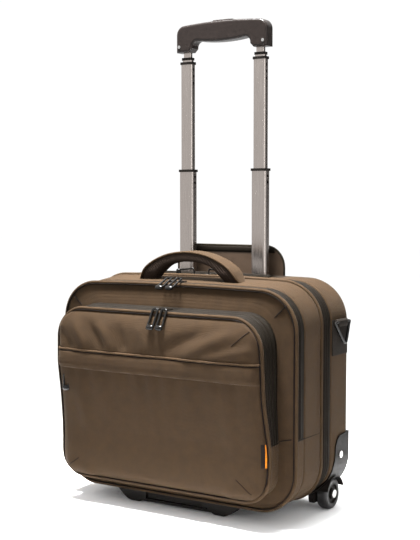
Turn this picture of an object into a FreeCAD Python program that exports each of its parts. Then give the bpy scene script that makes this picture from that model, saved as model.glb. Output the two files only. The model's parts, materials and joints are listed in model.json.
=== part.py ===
import FreeCAD, Part
import math
import os
import re
import Sketcher

V = FreeCAD.Vector
doc = FreeCAD.newDocument("RollingLaptopCase")

# Driving dimensions in millimetres. +X is the case's right, +Y its back, +Z up, and z = 0 the floor.
SIZES = (
    ("shell_half", 211, "half width of the fabric body"),
    ("shell_low", 21, "underside of the fabric body"),
    ("mid_top", 341, "top of the body at its front edge"),
    ("main_top", 350, "top of the body from the main zip back"),
    ("corner_low", 60, "corner radius at the bottom of the body"),
    ("corner_mid", 58, "corner radius at the top of the front edge"),
    ("corner_main", 62, "corner radius at the top from the main zip back"),
    ("mid_front", -48, "front edge of the middle compartment"),
    ("mid_tape", -27, "back of the middle zip tape"),
    ("split", 28, "plane of the main zip opening"),
    ("band_back", 56, "back of the main zip band"),
    ("rear_face", 113, "back of the fabric body"),
    ("pocket_half", 182, "half width of the front pocket"),
    ("pocket_low", 41, "underside of the front pocket"),
    ("pocket_top", 305, "top of the front pocket"),
    ("pocket_corner", 46, "corner radius of the front pocket"),
    ("pocket_front", -98, "plane of the front pocket's zip at its top"),
    ("lean", 3.6, "degrees by which that plane leans back towards its foot"),
    ("panel_front", -111, "foremost plane of the padded front panel before it leans"),
    ("wall", 3, "thickness of padded fabric walls"),
    ("gusset", 2.5, "thickness of the pocket's gusset"),
    ("cord", 2, "how far piping stands proud of its seam"),
    ("gap", 0.3, "clearance between pieces that move apart"),
    ("tube_x", 68.6, "distance of each handle tube from the middle"),
    ("tube_y", 90, "depth of the handle tubes"),
    ("tube_wall", 1.1, "wall of every handle tube"),
    ("sleeve_x", 30, "width of the fixed tubes"),
    ("sleeve_y", 19.2, "depth of the fixed tubes"),
    ("one_x", 26.6, "width of the first sliding tubes"),
    ("one_y", 15.9, "depth of the first sliding tubes"),
    ("two_x", 22, "width of the second sliding tubes"),
    ("two_y", 12.8, "depth of the second sliding tubes"),
    ("three_x", 17.8, "width of the third sliding tubes"),
    ("three_y", 10, "depth of the third sliding tubes"),
    ("stem_x", 14, "width of the grip's stems"),
    ("stem_y", 7.2, "depth of the grip's stems"),
    ("sleeve_r", 3, "corner radius of the fixed tubes"),
    ("one_r", 4.5, "corner radius of the first sliding tubes"),
    ("two_r", 4, "corner radius of the second sliding tubes"),
    ("three_r", 3.2, "corner radius of the third sliding tubes"),
    ("stem_r", 2.2, "corner radius of the stems"),
    ("wheel_room", 2, "clearance round each wheel"),
    ("tube_foot", 28, "lower end of the fixed tubes"),
    ("well_floor", 285, "floor of the well that the grip drops into"),
    ("well_half", 118, "half width of the well"),
    ("one_top", 521, "top of the first collars, as pulled out"),
    ("two_top", 695, "top of the second collars, as pulled out"),
    ("three_top", 702, "top of the third collars, as pulled out"),
    ("collar", 4, "height of every collar"),
    ("collar_lip", 0.8, "how far a collar stands out from its tube"),
    ("grip_low", 710, "lower end of the grip's legs"),
    ("grip_under", 727, "underside of the grip's bar at its ends"),
    ("grip_belly", 3.5, "how far the bar's underside bows down"),
    ("grip_crown", 3, "how far the bar's top bows up"),
    ("grip_top", 753, "top of the grip at its corners"),
    ("grip_half", 85, "half width of the grip"),
    ("grip_leg", 54, "inner side of the grip's legs"),
    ("grip_deep", 11, "half depth of the grip"),
    ("wheel_x", 195, "distance of each wheel's middle from the middle"),
    ("wheel_y", 81, "depth of the wheels' axis"),
    ("wheel_r", 24, "radius of the wheels"),
    ("wheel_wide", 18, "width of the wheels"),
    ("axle_r", 3, "radius of the axles"),
    ("ring_r", 2, "radius of the shoulder strap rings' wire"),
    ("ring_z", 288, "height of the rings' hinge bar"),
    ("ring_front", 60.5, "front end of the hinge bar"),
    ("ring_back", 107, "back end of the hinge bar"),
    ("ring_foot_front", 87, "front end of the rings' lower bar"),
    ("ring_foot_back", 97, "back end of the rings' lower bar"),
    ("ring_drop", 32, "height of the rings"),
    ("tab_low", 238, "lower edge of the rings' webbing"),
    ("ring_x", 216.5, "distance of the rings from the middle"),
    ("flap_half", 101, "half width of the flap over the well"),
    ("flap_top", 398, "top of the raised flap"),
    ("flap_back", 111.6, "back face and hinge line of the raised flap"),
    ("flap_thick", 2.6, "thickness of the flap"),
    ("flap_corner", 33, "radius of the flap's upper corners"),
    ("handle_foot", 97, "half distance between the carry handle's feet, outside"),
    ("handle_inner", 74, "half distance between the carry handle's feet, inside"),
    ("handle_thick", 16, "thickness of the carry handle's arch"),
    ("handle_split", 70, "half length of the carry handle's padded grip"),
    ("handle_top", 393, "top of the carry handle"),
    ("handle_y", -3, "depth of the carry handle's middle"),
    ("handle_deep", 15, "half depth of the carry handle's strap"),
    ("skid_half", 115, "half length of the front skid"),
    ("skid_front", -46, "front of the front skid"),
    ("skid_back", -29, "back of the front skid"),
    ("skid_foot", 78, "distance of each skid foot from the middle"),
    ("foot_half", 8, "half length of a skid foot's flat"),
    ("skid_clear", 3, "height of the skid between its feet"),
    ("board_half", 196, "half width of the board behind the laptop"),
    ("board_low", 56, "lower edge of the board"),
    ("board_top", 344, "upper edge of the board"),
    ("board_corner", 58, "corner radius of the board"),
    ("guard_low", 12, "lower edge of the corner guards"),
    ("guard_skin", 2.2, "thickness of the corner guards"),
    ("screw_y", 86, "depth of the guards' screws"),
    ("screw_z", 85, "height of the guards' screws"),
    ("screw_r", 3, "radius of the guards' screws"),
    ("strip_half", 171, "half length of the strip over the front pocket's zip"),
    ("strip_low", 214, "lower edge of the strip"),
    ("strip_top", 241, "upper edge of the strip"),
    ("strip_deep", 1.5, "thickness of the strip"),
    ("tag_low", 95, "lower edge of the side tag"),
    ("tag_top", 128, "upper edge of the side tag"),
    ("pull_long", 30, "length of a zip pull"),
    ("pull_half", 4, "half width of a zip pull"),
)

sheet = doc.addObject("Spreadsheet::Sheet", "Sizes")
for row, (name, value, note) in enumerate(SIZES, 1):
    sheet.set("A%d" % row, name)
    sheet.set("B%d" % row, str(value))
    sheet.setAlias("B%d" % row, name)
    sheet.set("C%d" % row, note)
doc.recompute()


def size(name):
    """A driving dimension, read back from the sheet."""
    return float(sheet.get(name))


NODES = {}


def node(name, piece):
    """Names a finished piece, which is written out under that name."""
    piece.Label = name
    NODES[name] = piece
    return piece


# ---------------------------------------------------------------- helpers: bound primitives

def bind(text):
    """A size expression with every name in it looked up in the sheet."""
    return re.sub(r"[a-z]\w*", lambda word: "Sizes." + word.group(), str(text))


def seat(piece, corner):
    """Binds a piece's position to three size expressions."""
    for axis, text in zip("xyz", corner):
        piece.setExpression("Placement.Base." + axis, bind(text))


def block(name, low, high):
    """A box between two corners given as size expressions."""
    piece = doc.addObject("Part::Box", name)
    for side, start, end in zip(("Length", "Width", "Height"), low, high):
        piece.setExpression(side, bind("(%s) - (%s)" % (end, start)))
    seat(piece, low)
    return piece


TURNS = {
    "x": FreeCAD.Rotation(V(0, 1, 0), 90),
    "y": FreeCAD.Rotation(V(1, 0, 0), -90),
    "z": FreeCAD.Rotation(),
}


def rod(name, axis, radius, length, start):
    """A cylinder that runs from start along an axis."""
    piece = doc.addObject("Part::Cylinder", name)
    piece.Placement = FreeCAD.Placement(V(), TURNS[axis])
    piece.setExpression("Radius", bind(radius))
    piece.setExpression("Height", bind(length))
    seat(piece, start)
    return piece


def runs_along(edge, axis):
    """Whether a straight edge is parallel to an axis."""
    ends = edge.Vertexes
    if len(ends) < 2:
        return False
    run = ends[1].Point - ends[0].Point
    return abs(abs(getattr(run, axis)) - run.Length) < 1e-6


def soften(name, base, radius, pick):
    """Rounds the edges of base that pick accepts."""
    doc.recompute()
    piece = doc.addObject("Part::Fillet", name)
    piece.Base = base
    edges = enumerate(base.Shape.Edges, 1)
    piece.Edges = [(number, radius, radius) for number, edge in edges if pick(edge)]
    return piece


def rounded(name, axis, low, high, radius):
    """A box whose four edges along one axis are rounded."""
    return soften(name, block(name + "_box", low, high), radius, lambda edge: runs_along(edge, axis))


def cut(name, base, *tools):
    """Base with every tool taken away."""
    piece = base
    for number, tool in enumerate(tools):
        last = number == len(tools) - 1
        step = doc.addObject("Part::Cut", name if last else "%s_cut%d" % (name, number))
        step.Base = piece
        step.Tool = tool
        piece = step
    return piece


def fuse(name, *pieces):
    piece = doc.addObject("Part::MultiFuse", name)
    piece.Shapes = list(pieces)
    return piece


def common(name, first, second):
    piece = doc.addObject("Part::Common", name)
    piece.Base = first
    piece.Tool = second
    return piece


def group(name, *pieces):
    """Separate solids that share one node."""
    piece = doc.addObject("Part::Compound", name)
    piece.Links = list(pieces)
    return piece


def mirrored(name, source):
    """The same piece on the case's other side."""
    piece = doc.addObject("Part::Mirroring", name)
    piece.Source = source
    piece.Normal = V(1, 0, 0)
    return piece


def solid(name, shape):
    """A piece whose outline no primitive fits."""
    piece = doc.addObject("Part::Feature", name)
    piece.Shape = shape
    return piece


def prism(name, points, run):
    """A closed polygon of points pushed along a vector."""
    wire = Part.makePolygon([V(*point) for point in points + points[:1]])
    return solid(name, Part.Face(wire).extrude(V(*run)))


# ---------------------------------------------------------------- helpers: fabric outlines

def outline(y, half, low, high, r_low, r_high):
    """A rounded rectangle standing in the plane at y."""
    corners = (
        (half - r_low, low + r_low, r_low, 270),
        (half - r_high, high - r_high, r_high, 0),
        (r_high - half, high - r_high, r_high, 90),
        (r_low - half, low + r_low, r_low, 180),
    )
    arcs = []
    for x, z, radius, start in corners:
        angles = [math.radians(start + turn) for turn in (0, 45, 90)]
        arcs.append([V(x + radius * math.cos(a), y, z + radius * math.sin(a)) for a in angles])
    edges = []
    for arc, following in zip(arcs, arcs[1:] + arcs[:1]):
        edges.append(Part.Arc(*arc).toShape())
        edges.append(Part.makeLine(arc[2], following[0]))
    return Part.Wire(edges)


def body_outline(y, grow=0.0):
    """The fabric body at depth y, larger all round by grow."""
    share = (y - size("mid_front")) / (size("split") - size("mid_front"))
    share = min(1.0, max(0.0, share))
    high = size("mid_top") + share * (size("main_top") - size("mid_top"))
    r_high = size("corner_mid") + share * (size("corner_main") - size("corner_mid"))
    half = size("shell_half") + grow
    return outline(y, half, size("shell_low") - grow, high + grow, size("corner_low") + grow, r_high + grow)


def lean_by(share=1.0):
    """The turn that takes the front pocket's foot back. Share is how much of it applies."""
    pivot = V(0, size("pocket_front"), size("pocket_top"))
    return FreeCAD.Placement(V(), FreeCAD.Rotation(V(1, 0, 0), share * size("lean")), pivot)


def leaned(shape, share=1.0):
    return shape.transformed(lean_by(share).toMatrix(), True)


def pocket_outline(y, grow=0.0):
    """The front pocket at depth y, larger all round by grow. It leans less towards its back."""
    radius = size("pocket_corner") + grow
    half = size("pocket_half") + grow
    flat = outline(y, half, size("pocket_low") - grow, size("pocket_top") + grow, radius, radius)
    back = size("mid_front") - size("wall")
    return leaned(flat, min(1.0, max(0.0, (back - y) / (back - size("pocket_front")))))


def loft(name, first, last):
    """A solid drawn straight from one outline to another."""
    piece = doc.addObject("Part::Loft", name)
    piece.Sections = [solid(name + "_first", first), solid(name + "_last", last)]
    piece.Solid = True
    piece.Ruled = True
    return piece


def ring(name, shape, start, end, outer, inner):
    """A closed band round an outline, between two offsets of it."""
    body = loft(name + "_outer", shape(start, outer), shape(end, outer))
    bore = loft(name + "_inner", shape(start - 1, inner), shape(end + 1, inner))
    return cut(name, body, bore)


def tub(name, start, end):
    """A fabric compartment, open at the front, with a back wall."""
    wall = size("wall")
    body = loft(name + "_outer", body_outline(start), body_outline(end))
    hollow = loft(name + "_hollow", body_outline(start - 1, -wall), body_outline(end - wall, -wall))
    return cut(name, body, hollow)


# ---------------------------------------------------------------- rear of the case

def wheel_pocket(name):
    """The space that a wheel's housing takes out of the fabric body."""
    reach = "wheel_r + wheel_room + 2.5"
    arch = rod(name + "_arch", "x", reach, 40, ("wheel_x - 19.5", "wheel_y", "wheel_r"))
    below = block(name + "_below", ("wheel_x - 19.5", "wheel_y - (%s)" % reach, 0),
                  ("wheel_x + 20.5", "wheel_y + " + reach, "wheel_r"))
    return fuse(name, arch, below)


def make_rear():
    pocket = wheel_pocket("wheel_pocket_right")
    pockets = (pocket, mirrored("wheel_pocket_left", pocket))
    well = block("well_slot", ("-well_half", "tube_y - 19", "main_top - 10"),
                 ("well_half", "tube_y + 17.5", "main_top + 10"))
    hole = rod("screw_hole_right", "x", "screw_r + 0.1", 20, ("shell_half - 10", "screw_y", "screw_z"))
    shell = tub("rear_tub", size("band_back") + 0.1, size("rear_face"))
    node("rear_shell", cut("rear_shell", shell, well, hole, mirrored("screw_hole_left", hole), *pockets))
    band = ring("rear_band", body_outline, size("split") + size("gap"), size("band_back"), 0.0, -size("wall"))
    node("rear_zip_band", cut("rear_zip_band", band, *pockets))
    board = rounded("back_board", "y", ("-board_half", "tube_y - 22", "board_low"),
                    ("board_half", "tube_y - 19.5", "board_top"), size("board_corner"))
    node("back_board", board)
    track = rounded("track_outer", "z", ("-flap_half", "tube_y - 27", "main_top + 0.2"),
                    ("flap_half", "tube_y - 20", "main_top + 4"), 3)
    node("flap_zip_track", track)


def make_corner_guard():
    """A moulded corner with the wheel's housing in it, and its mirror image."""
    low = size("guard_low")
    rear = size("rear_face") + 2
    skin = size("guard_skin")
    inside = 170
    front_edge = ((40, low), (42, 30), (52, 40), (60, 47), (64, 58), (66, 70), (69.5, 84), (72, 100),
                  (76, 108), (82, 113.5), (rear, 117), (rear, low))
    region = prism("guard_region", [(inside, y, z) for y, z in front_edge], (50, 0, 0))
    outer = loft("guard_outer", body_outline(47, skin), body_outline(rear, skin))
    inner = loft("guard_inner", body_outline(46, 0.1), body_outline(rear - 1.9, 0.1))
    skin = common("guard_skin", cut("guard_layer", outer, inner), region)
    drum = rod("guard_drum", "x", "wheel_r + wheel_room + 2", 32.5, ("wheel_x - 19", "wheel_y", "wheel_r"))
    under = block("guard_under", ("wheel_x - wheel_wide / 2 - 1.5", 40, -20), (230, 120, "wheel_r + 8"))
    housing = cut("guard_housing", drum, under)
    floor = block("guard_floor", (150, 30, -20), (230, 120, "guard_low"))
    room = rod("guard_room", "x", "wheel_r + wheel_room", 60,
               ("wheel_x - wheel_wide / 2 - 1.5", "wheel_y", "wheel_r"))
    bore = rod("guard_bore", "x", "axle_r + 0.1", 60, (150, "wheel_y", "wheel_r"))
    hole = rod("guard_hole", "x", "screw_r + 0.2", 70, (150, "screw_y", "screw_z"))
    right = cut("guard_right", fuse("guard_whole", skin, housing), floor, room, bore, hole)
    node("corner_guard_right", right)
    node("corner_guard_left", mirrored("guard_left", right))
    face = "shell_half + guard_skin"
    head = rod("screw_head", "x", "screw_r + 2.4", 1.6, (face + " + 0.1", "screw_y", "screw_z"))
    shank = rod("screw_shank", "x", "screw_r", 6, (face + " - 4.9", "screw_y", "screw_z"))
    slot = block("screw_slot", (face + " + 0.9", "screw_y - 4", "screw_z - 0.6"),
                 (face + " + 3", "screw_y + 4", "screw_z + 0.6"))
    screw = cut("screw_right", fuse("screw_whole", head, shank), slot)
    node("guard_screws", group("guard_screws", screw, mirrored("screw_left", screw)))


def turned(name, points):
    """A body turned about its X axis: points run along the axis and out from it."""
    body = doc.addObject("PartDesign::Body", name)
    sketch = body.newObject("Sketcher::SketchObject", name + "_profile")
    plane = next(item for item in body.Origin.OriginFeatures if item.Role == "XY_Plane")
    sketch.AttachmentSupport = [(plane, "")]
    sketch.MapMode = "FlatFace"
    spots = [V(x, radius, 0) for x, radius in points]
    for start, end in zip(spots, spots[1:] + spots[:1]):
        sketch.addGeometry(Part.LineSegment(start, end))
    count = len(points)
    for line in range(count):
        sketch.addConstraint(Sketcher.Constraint("Coincident", line, 2, (line + 1) % count, 1))
    for line, (x, radius) in enumerate(points):
        sketch.addConstraint(Sketcher.Constraint("DistanceX", -1, 1, line, 1, x))
        sketch.addConstraint(Sketcher.Constraint("DistanceY", -1, 1, line, 1, radius))
    turn = body.newObject("PartDesign::Revolution", name + "_turn")
    turn.Profile = sketch
    turn.ReferenceAxis = (sketch, ["H_Axis"])
    turn.Angle = 360
    return body


def make_wheel(side, sign):
    """A tyre on a hub, free on a headed axle."""
    radius = size("wheel_r")
    wide = size("wheel_wide")
    rim = radius - 7.5
    inset = 1.0
    tread = [(inset, rim), (inset, radius - 4), (inset + 1.3, radius - 1.3), (inset + 4, radius),
             (wide + inset - 4, radius), (wide + inset - 1.3, radius - 1.3), (wide + inset, radius - 4),
             (wide + inset, rim)]
    bore = size("axle_r") + 0.05
    web = [(inset, bore), (inset, 8), (inset + 3, 9), (inset + 3, rim - 3), (inset, rim - 2),
           (inset, rim - 0.02), (wide + inset, rim - 0.02), (wide + inset, rim - 2),
           (wide + inset - 3, rim - 3), (wide + inset - 3, 9), (wide + inset, 8), (wide + inset, bore)]
    base = V(sign * size("wheel_x") - wide / 2 - inset, size("wheel_y"), radius)
    for name, points in (("tyre_" + side, tread), ("wheel_hub_" + side, web)):
        body = turned(name, points)
        body.Placement = FreeCAD.Placement(base, FreeCAD.Rotation())
        node(name, body)


def make_axles():
    pin = rod("axle_pin", "x", "axle_r", 29, ("wheel_x - 18", "wheel_y", "wheel_r"))
    head = rod("axle_head", "x", 6.5, 2.2, ("wheel_x + wheel_wide / 2 + 0.5", "wheel_y", "wheel_r"))
    dome = soften("axle_right", fuse("axle_whole", pin, head), 0.9, lambda edge: is_outer_rim(edge))
    node("wheel_axles", group("wheel_axles", dome, mirrored("axle_left", dome)))


def is_outer_rim(edge):
    """The outer circle of an axle's head."""
    face_x = size("wheel_x") + size("wheel_wide") / 2 + 2.7
    round_edge = isinstance(edge.Curve, Part.Circle)
    return round_edge and abs(edge.BoundBox.XMin - face_x) < 0.1 and edge.Curve.Radius > 5


def make_ring(side, sign):
    """A triangular ring whose straight bar hangs in a webbing loop."""
    x = sign * size("ring_x")
    top = size("ring_z")
    foot = top - size("ring_drop")
    corners = [V(x, size("ring_front"), top), V(x, size("ring_back"), top),
               V(x, size("ring_foot_back"), foot), V(x, size("ring_foot_front"), foot)]
    wires = []
    for start, end in zip(corners, corners[1:] + corners[:1]):
        run = end - start
        wires.append(Part.makeCylinder(size("ring_r"), run.Length, start, run))
        wires.append(Part.makeSphere(size("ring_r"), start))
    node("strap_ring_" + side, solid("strap_ring_" + side, wires[0].multiFuse(wires[1:])))


def make_ring_tabs():
    patch = rounded("tab_patch", "x", ("shell_half + 0.1", "ring_front - 1.5", "tab_low"),
                    ("shell_half + 1.9", "ring_back + 1.5", "ring_z + 4"), 3)
    loop = rounded("tab_loop", "y", ("shell_half + 1", "ring_front + 8", "ring_z - 4.5"),
                   ("ring_x + 3.6", "ring_back - 7.5", "ring_z + 4"), 2.5)
    bore = rod("tab_bore", "y", "ring_r + 0.3", 60, ("ring_x", 55, "ring_z"))
    right = cut("tab_right", fuse("tab_whole", patch, loop), bore)
    node("ring_tabs", group("ring_tabs", right, mirrored("tab_left", right)))


# ---------------------------------------------------------------- telescopic handle

def tube(name, side, section, low, high):
    """One rectangular tube. Section is the name that its two sizes share."""
    x = "%d * tube_x" % side
    outer = rounded(name + "_out", "z", (x + " - %s_x / 2" % section, "tube_y - %s_y / 2" % section, low),
                    (x + " + %s_x / 2" % section, "tube_y + %s_y / 2" % section, high), size(section + "_r"))
    inner = rounded(name + "_in", "z", (x + " - %s_x / 2 + tube_wall" % section,
                                        "tube_y - %s_y / 2 + tube_wall" % section, low + " - 1"),
                    (x + " + %s_x / 2 - tube_wall" % section,
                     "tube_y + %s_y / 2 - tube_wall" % section, high + " + 1"),
                    size(section + "_r") - size("tube_wall"))
    return cut(name, outer, inner)


def tube_pair(name, section, low, high, holes=()):
    """Left and right tubes. Holes are the heights of the catch holes in their right-hand faces."""
    pair = []
    for side, tag in ((-1, "_left"), (1, "_right")):
        drills = [rod("%s%s_hole%d" % (name, tag, number), "x", 2.6, 8,
                      ("%d * tube_x + %s_x / 2 - 4" % (side, section), "tube_y", height))
                  for number, height in enumerate(holes)]
        plain = tube(name + tag, side, section, low, high)
        pair.append(cut(name + tag + "_drilled", plain, *drills) if drills else plain)
    node(name, group(name, *pair))


def collar_pair(name, outer, inner, top):
    """Plastic collars that guide the next tube out of this one."""
    pair = []
    for side, tag in ((-1, "_left"), (1, "_right")):
        x = "%d * tube_x" % side
        body = rounded(name + tag + "_body", "z",
                       (x + " - %s_x / 2 - collar_lip" % outer, "tube_y - %s_y / 2 - collar_lip" % outer,
                        top + " - collar"),
                       (x + " + %s_x / 2 + collar_lip" % outer, "tube_y + %s_y / 2 + collar_lip" % outer, top), 2.6)
        bore = block(name + tag + "_bore",
                     (x + " - %s_x / 2 - gap" % inner, "tube_y - %s_y / 2 - gap" % inner, top + " - collar - 1"),
                     (x + " + %s_x / 2 + gap" % inner, "tube_y + %s_y / 2 + gap" % inner, top + " + 1"))
        pair.append(cut(name + tag, body, bore))
    node(name, group(name, *pair))


def catch_pair(name, section, heights):
    """Spring catches inside a tube, which show through the holes in the tube round it."""
    pins = []
    for side in (-1, 1):
        for number, height in enumerate(heights):
            start = "%d * tube_x + %s_x / 2 + 0.05" % (side, section)
            pins.append(rod("%s_%d_%d" % (name, side + 1, number), "x", 2.2, "gap - 0.1", (start, "tube_y", height)))
    node(name, group(name, *pins))


def make_base_tubes():
    tube_pair("fixed_tubes", "sleeve", "tube_foot", "well_floor - 4")
    plate = rounded("plate_body", "z", ("-well_half + 1", "tube_y - 19", "well_floor - 3.9"),
                    ("well_half - 1", "tube_y + 19", "well_floor"), 5)
    slots = [block("plate_slot%d" % side, ("%d * tube_x - one_x / 2 - gap" % side, "tube_y - one_y / 2 - gap",
                                           "well_floor - 6"),
                   ("%d * tube_x + one_x / 2 + gap" % side, "tube_y + one_y / 2 + gap", "well_floor + 1"))
             for side in (-1, 1)]
    node("well_plate", cut("well_plate", plate, *slots))
    foot = block("foot_body", (-96, "tube_y - 15", "shell_low + wall + 0.2"), (96, "tube_y + 15", "tube_foot - 0.1"))
    node("tube_foot_bracket", soften("tube_foot_bracket", foot, 2, lambda edge: runs_along(edge, "z")))


def make_stages():
    tube_pair("tubes_1", "one", "well_floor - 26", "one_top - collar", ("one_top - 12", "one_top - 22"))
    collar_pair("collars_1", "one", "two", "one_top")
    tube_pair("tubes_2", "two", "one_top - 40", "two_top - collar",
              ("two_top - 12", "two_top - 23", "two_top - 34"))
    collar_pair("collars_2", "two", "three", "two_top")
    catch_pair("catches_2", "two", ("one_top - 12", "one_top - 22"))
    tube_pair("tubes_3", "three", "two_top - 180", "three_top - collar")
    collar_pair("collars_3", "three", "stem", "three_top")
    catch_pair("catches_3", "three", ("two_top - 12", "two_top - 23", "two_top - 34"))
    tube_pair("grip_stems", "stem", "three_top - 170", "grip_top - 8")


def grip_half(name, start, end):
    """One half shell of the grip, cut in the plane of the tubes."""
    legs_low = size("grip_low")
    under = size("grip_under")
    top = size("grip_top")
    half = size("grip_half")
    leg = size("grip_leg")
    low_round = 9.0
    high_round = 15.0
    chamfer = 6.0

    def corner(x, z, radius, first, last):
        angles = [math.radians(a) for a in (first, (first + last) / 2.0, last)]
        return [V(x + radius * math.cos(a), start, z + radius * math.sin(a)) for a in angles]

    right = corner(half - high_round, top - high_round, high_round, 0, 90)
    left = corner(high_round - half, top - high_round, high_round, 90, 180)
    inner_left = corner(-leg + low_round, under - low_round, low_round, 180, 90)
    inner_right = corner(leg - low_round, under - low_round, low_round, 90, 0)
    crown = V(0, start, top + size("grip_crown"))
    belly = V(0, start, under - size("grip_belly"))
    path = [Part.Arc(*right).toShape(), Part.Arc(right[2], crown, left[0]).toShape(), Part.Arc(*left).toShape()]

    def leg_edges(first, last, side):
        stops = [V(side * half, start, legs_low), V(side * (leg + chamfer), start, legs_low),
                 V(side * leg, start, legs_low + chamfer)]
        stops = [first] + (stops if side < 0 else stops[::-1]) + [last]
        return [Part.makeLine(a, b) for a, b in zip(stops, stops[1:])]

    path += leg_edges(left[2], inner_left[0], -1)
    path += [Part.Arc(*inner_left).toShape(), Part.Arc(inner_left[2], belly, inner_right[0]).toShape()]
    path.append(Part.Arc(*inner_right).toShape())
    path += leg_edges(inner_right[2], right[0], 1)
    body = Part.Face(Part.Wire(path)).extrude(V(0, end - start, 0))
    outer_y = start if abs(start - size("tube_y")) > abs(end - size("tube_y")) else end
    rims = [edge for edge in body.Edges
            if abs(edge.BoundBox.YMin - outer_y) < 0.01 and abs(edge.BoundBox.YMax - outer_y) < 0.01]
    return solid(name, body.makeFillet(4.0, rims))


def make_grip():
    middle = size("tube_y")
    deep = size("grip_deep")
    halves = (("grip_front", middle - deep, middle - 0.05), ("grip_back", middle + 0.05, middle + deep))
    for name, start, end in halves:
        room = block(name + "_room", (-60, "tube_y - 7", "grip_under + 4"), (60, "tube_y + 7", "grip_top - 4"))
        slot = block(name + "_slot", (-19.4, "tube_y - 6.4", "grip_top - 8"), (19.4, "tube_y + 6.4", "grip_top + 9"))
        sockets = [block(name + "_socket%d" % side,
                         ("%d * tube_x - stem_x / 2" % side, "tube_y - stem_y / 2", "grip_low - 1"),
                         ("%d * tube_x + stem_x / 2" % side, "tube_y + stem_y / 2", "grip_top - 7.9"))
                   for side in (-1, 1)]
        drills = [rod(name + "_drill%d" % side, "y", 1.6, 14, ("%d * 78.5" % side, "tube_y - 12", "grip_low + 9"))
                  for side in (-1, 1)]
        node(name, cut(name, grip_half(name + "_half", start, end), room, slot, *(sockets + drills)))
    screws = []
    for side in (-1, 1):
        x = "%d * 78.5" % side
        head = rod("grip_head%d" % side, "y", 2.6, 1, (x, "tube_y - grip_deep - 1.05", "grip_low + 9"))
        shank = rod("grip_shank%d" % side, "y", 1.5, 12, (x, "tube_y - grip_deep - 0.5", "grip_low + 9"))
        screws.append(fuse("grip_screw%d" % side, head, shank))
    node("grip_screws", group("grip_screws", *screws))
    key = rounded("button_body", "z", (-19, "tube_y - 6", "grip_top - 11.9"), (19, "tube_y + 6", "grip_top + 5"), 4)
    node("release_button", soften("release_button", key, 1.5, lambda edge: edge.BoundBox.ZMin > size("grip_top") + 4.9))
    node("release_yoke", block("release_yoke", (-58, "tube_y - 4", "grip_top - 17"),
                               (58, "tube_y + 4", "grip_top - 12")))


# ---------------------------------------------------------------- lids and front

def make_middle():
    node("mid_shell", tub("mid_shell", size("mid_tape") + 0.1, size("split")))
    tape = ring("mid_zip_tape", body_outline, size("mid_front") + size("gap"), size("mid_tape"), 0.0, -size("wall"))
    node("mid_zip_tape", tape)
    cord = size("cord")
    node("main_piping", ring("main_piping", body_outline, size("split") - 4, size("split"), cord, 0.1))
    make_skid()


def make_skid():
    """A moulded bar under the case's front edge, with two feet and a shallow recess in its face."""
    front = size("skid_front")
    top = size("shell_low") - 0.2
    foot = size("skid_foot")
    flat = size("foot_half")
    clear = size("skid_clear")
    right = [(size("skid_half"), top), (foot + flat + 14, 7), (foot + flat + 6, 2), (foot + flat, 0),
             (foot - flat, 0), (foot - flat - 6, clear)]
    left = [(-x, z) for x, z in reversed(right)]
    bar = prism("skid_bar", [(x, front, z) for x, z in right + left], (0, size("skid_back") - front, 0))
    recess = block("skid_recess", (-57, "skid_front - 1", 7), (57, "skid_front + 4", 17))
    node("front_skid", cut("front_skid", bar, recess))


def make_organiser():
    front = size("mid_front")
    wall = size("wall")
    node("organiser_panel", loft("organiser_panel", body_outline(front - wall), body_outline(front)))
    node("mid_piping", ring("mid_piping", body_outline, front - 4, front, size("cord"), 0.1))
    gusset = ring("front_gusset", pocket_outline, size("pocket_front") + size("gap"), front - wall - 0.1,
                  0.0, -size("gusset"))
    node("front_gusset", gusset)


def make_front_panel():
    start = size("pocket_front")
    front = size("panel_front")
    face = outline(front, size("pocket_half") - 8, size("pocket_low") + 13, size("pocket_top") - 25, 40, 40)
    node("front_panel", loft("front_panel", leaned(face), pocket_outline(start)))
    node("front_piping", ring("front_piping", pocket_outline, start - 3, start - 0.1, size("cord"), 0.1))
    strip = block("strip_box", ("-strip_half", "panel_front - 0.1 - strip_deep", "strip_low"),
                  ("strip_half", "panel_front - 0.1", "strip_top"))
    tag = block("tag_box", ("pocket_half + cord + 0.2", "panel_front + 3", "tag_low"),
                ("pocket_half + cord + 1.4", "pocket_front - 1", "tag_top"))
    doc.recompute()
    node("front_band", solid("front_band", leaned(strip.Shape)))
    node("side_tag", solid("side_tag", leaned(tag.Shape)))


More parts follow.
